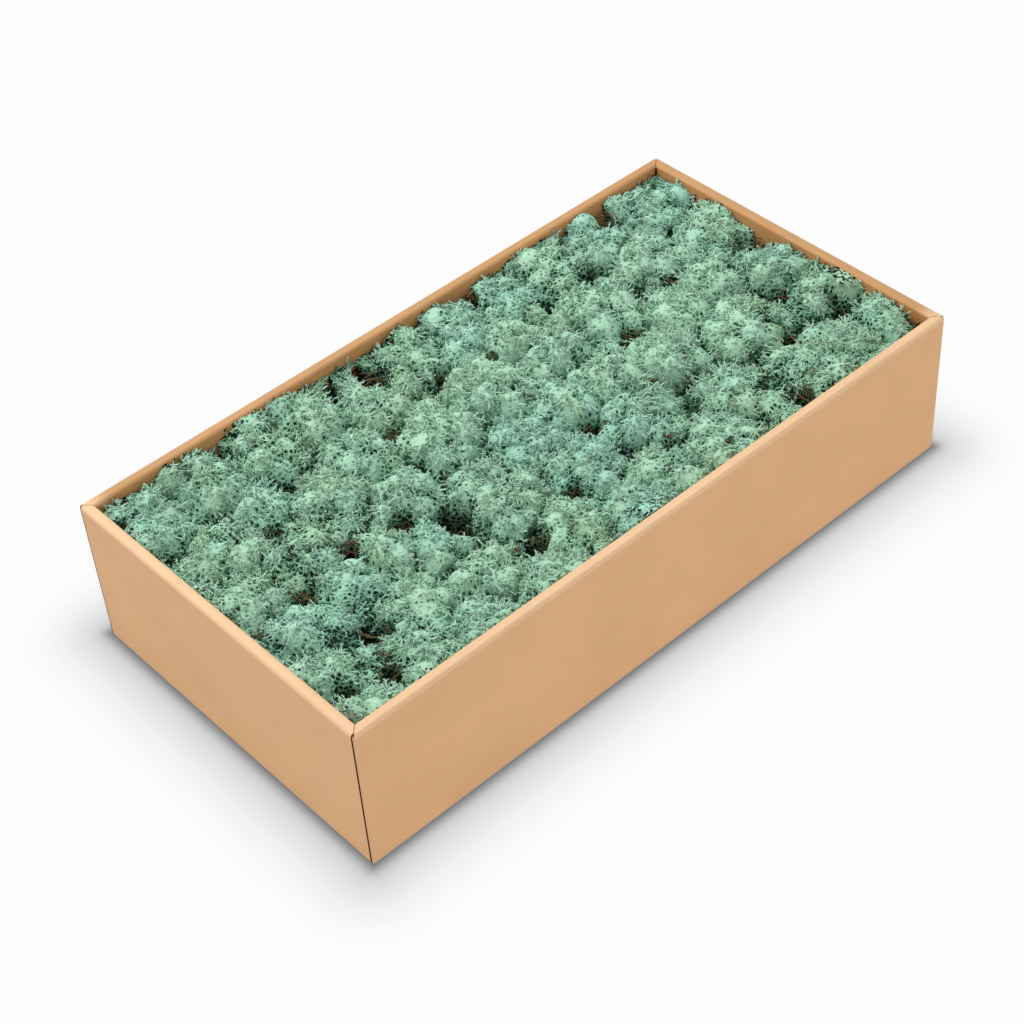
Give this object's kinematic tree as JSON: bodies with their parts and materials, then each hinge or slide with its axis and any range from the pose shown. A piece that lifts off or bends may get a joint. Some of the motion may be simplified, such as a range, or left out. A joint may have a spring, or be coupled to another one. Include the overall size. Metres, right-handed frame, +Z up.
{
  "type": "box of preserved reindeer moss",
  "caption": "Open folded cardboard tray filled to the rim with soft, branching heads of preserved green reindeer moss.",
  "frame": {"origin": "middle of the tray's underside", "axes": "+X along the tray's long side, +Y across it, +Z up"},
  "size_m": [0.57, 0.3, 0.13],
  "materials": {
    "board": "smooth kraft liner, plain, matt",
    "moss_green": "matt, finely branched, mid mint green",
    "moss_blue_green": "matt, finely branched, bluish green",
    "moss_pale_green": "matt, finely branched, pale green",
    "twig": "dry brown bark"
  },
  "bodies": {
    "root": {"tray": "board", "moss_head_01": "moss_blue_green", "moss_head_02": "moss_green", "moss_head_03": "moss_pale_green", "moss_head_04": "moss_pale_green", "moss_head_05": "moss_green", "moss_head_06": "moss_pale_green", "moss_head_07": "moss_blue_green", "moss_head_08": "moss_blue_green", "moss_head_09": "moss_pale_green", "moss_head_10": "moss_blue_green", "moss_head_11": "moss_blue_green", "moss_head_12": "moss_green", "moss_head_13": "moss_blue_green", "moss_head_14": "moss_green", "moss_head_15": "moss_green", "moss_head_16": "moss_pale_green", "moss_head_17": "moss_pale_green", "moss_head_18": "moss_pale_green", "moss_head_19": "moss_green", "moss_head_20": "moss_pale_green", "moss_head_21": "moss_green", "moss_head_22": "moss_green", "moss_head_23": "moss_green", "moss_head_24": "moss_green", "moss_head_25": "moss_green", "moss_head_26": "moss_green", "moss_head_27": "moss_blue_green", "moss_head_28": "moss_blue_green", "moss_head_29": "moss_pale_green", "moss_head_30": "moss_pale_green", "moss_head_31": "moss_pale_green", "moss_head_32": "moss_pale_green", "moss_head_33": "moss_blue_green", "moss_head_34": "moss_blue_green", "moss_head_35": "moss_blue_green", "moss_head_36": "moss_pale_green", "moss_head_37": "moss_blue_green", "moss_head_38": "moss_green", "moss_head_39": "moss_blue_green", "moss_head_40": "moss_blue_green", "moss_head_41": "moss_pale_green", "moss_head_42": "moss_green", "moss_head_43": "moss_pale_green", "moss_head_44": "moss_pale_green", "moss_head_45": "moss_pale_green", "moss_head_46": "moss_pale_green", "moss_head_47": "moss_pale_green", "moss_head_48": "moss_green", "moss_head_49": "moss_green", "moss_head_50": "moss_pale_green", "moss_head_51": "moss_blue_green", "moss_head_52": "moss_pale_green", "moss_head_53": "moss_green", "moss_head_54": "moss_pale_green", "moss_head_55": "moss_pale_green", "moss_head_56": "moss_pale_green", "moss_head_57": "moss_pale_green", "dead_twig_1": "twig", "dead_twig_2": "twig"}
  },
  "joints": []
}
